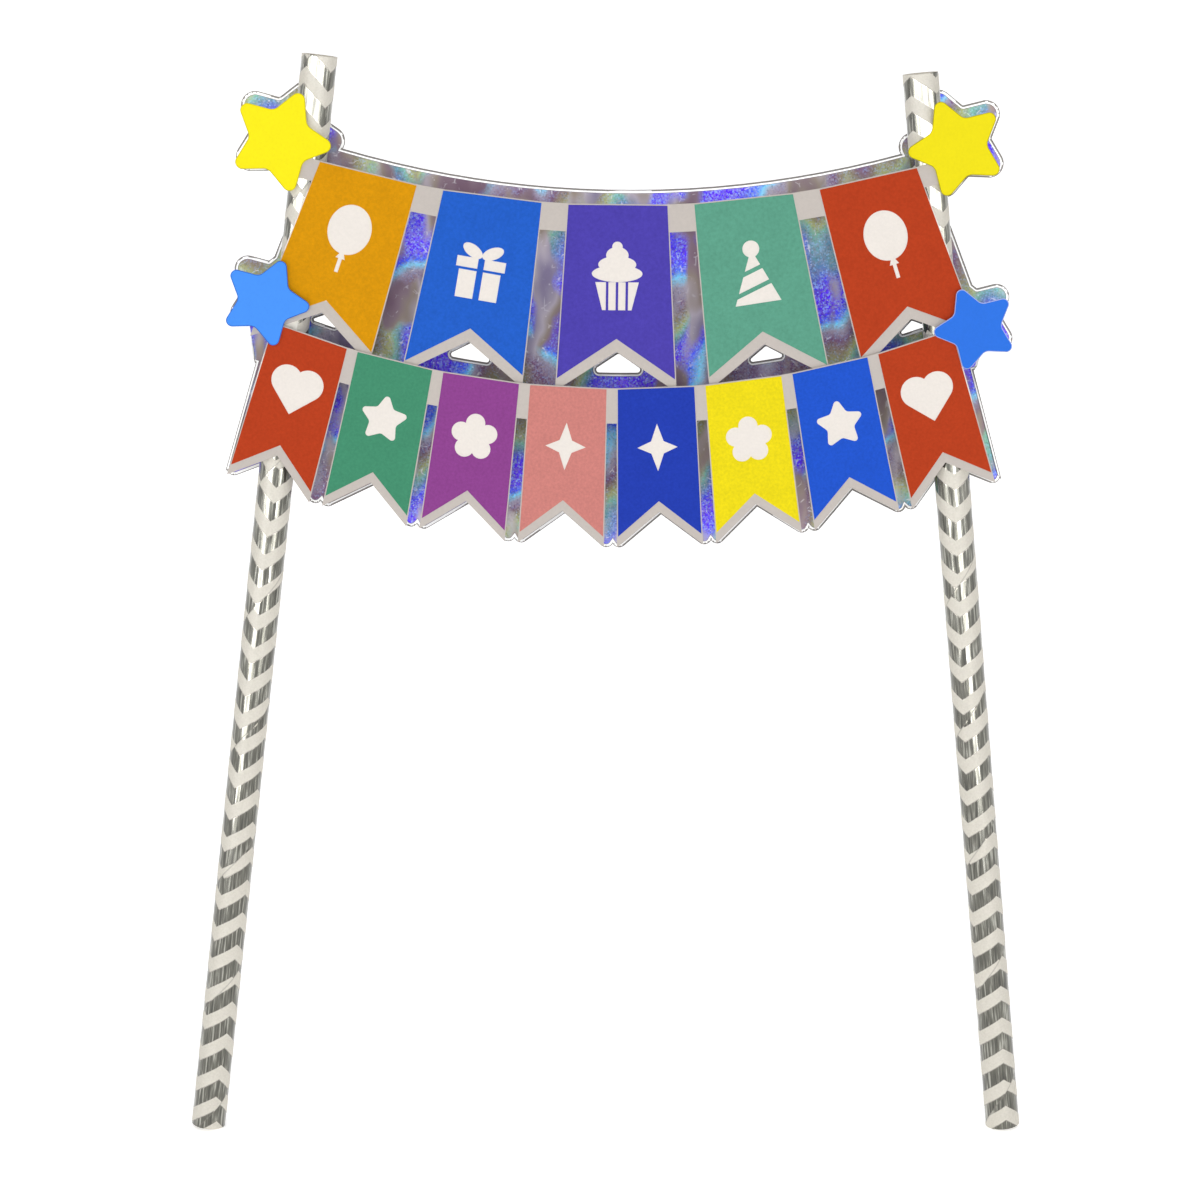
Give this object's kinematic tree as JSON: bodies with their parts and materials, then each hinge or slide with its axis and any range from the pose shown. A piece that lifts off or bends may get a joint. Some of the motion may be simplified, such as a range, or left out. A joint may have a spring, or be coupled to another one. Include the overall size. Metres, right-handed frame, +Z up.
{
  "type": "cake topper",
  "caption": "Party cake topper: two arched rows of swallowtail paper flags on foil-faced card, with card stars, carried between two chevron paper straws.",
  "frame": {"origin": "midway between the lower ends of the two straws, on the level that their lowest rims touch and in the plane of their axes", "axes": "+X across the banner to the viewer's right, +Z up the topper, -Y towards the viewer"},
  "size_m": [0.1552, 0.0081, 0.1982],
  "materials": {
    "foil_printed_straw_paper": "satin white wrap with silver foil chevrons",
    "straw_core_paper": "matte",
    "white_card": "smooth uncoated",
    "yellow_card": "smooth, dyed through",
    "blue_card": "smooth, dyed through",
    "grey_card": "matte",
    "holographic_film": "metallised holographic mirror",
    "foam_pad": "fine-celled foam",
    "clear_glue": "set hot-melt glue",
    "amber_ink": "flat printed ink on card",
    "blue_ink": "flat printed ink on card",
    "violet_ink": "flat printed ink on card",
    "teal_ink": "flat printed ink on card",
    "red_ink": "flat printed ink on card",
    "green_ink": "flat printed ink on card",
    "purple_ink": "flat printed ink on card",
    "pink_ink": "flat printed ink on card",
    "royal_blue_ink": "flat printed ink on card",
    "yellow_ink": "flat printed ink on card"
  },
  "bodies": {
    "root": {"backing_card": "grey_card", "holographic_film": "holographic_film", "left_lower_glue": "clear_glue", "left_rear_glue": "clear_glue", "left_straw_inner_ply": "straw_core_paper", "left_straw_middle_ply": "straw_core_paper", "left_straw_outer_ply": "foil_printed_straw_paper", "left_upper_glue": "clear_glue", "lower_flag_pad_2": "foam_pad", "lower_flag_pad_3": "foam_pad", "lower_flag_pad_4": "foam_pad", "lower_flag_pad_5": "foam_pad", "lower_flag_pad_6": "foam_pad", "lower_flag_pad_7": "foam_pad", "lower_flag_strip": "white_card", "lower_left_star": "blue_card", "lower_left_star_pad": "foam_pad", "lower_print_1": "red_ink", "lower_print_2": "green_ink", "lower_print_3": "purple_ink", "lower_print_4": "pink_ink", "lower_print_5": "royal_blue_ink", "lower_print_6": "yellow_ink", "lower_print_7": "blue_ink", "lower_print_8": "red_ink", "lower_right_star": "blue_card", "lower_right_star_pad": "foam_pad", "right_lower_glue": "clear_glue", "right_rear_glue": "clear_glue", "right_straw_inner_ply": "straw_core_paper", "right_straw_middle_ply": "straw_core_paper", "right_straw_outer_ply": "foil_printed_straw_paper", "right_upper_glue": "clear_glue", "upper_flag_pad_2": "foam_pad", "upper_flag_pad_3": "foam_pad", "upper_flag_pad_4": "foam_pad", "upper_flag_strip": "white_card", "upper_left_star": "yellow_card", "upper_left_star_pad": "foam_pad", "upper_print_1": "amber_ink", "upper_print_2": "blue_ink", "upper_print_3": "violet_ink", "upper_print_4": "teal_ink", "upper_print_5": "red_ink", "upper_right_star": "yellow_card", "upper_right_star_pad": "foam_pad"}
  },
  "joints": []
}
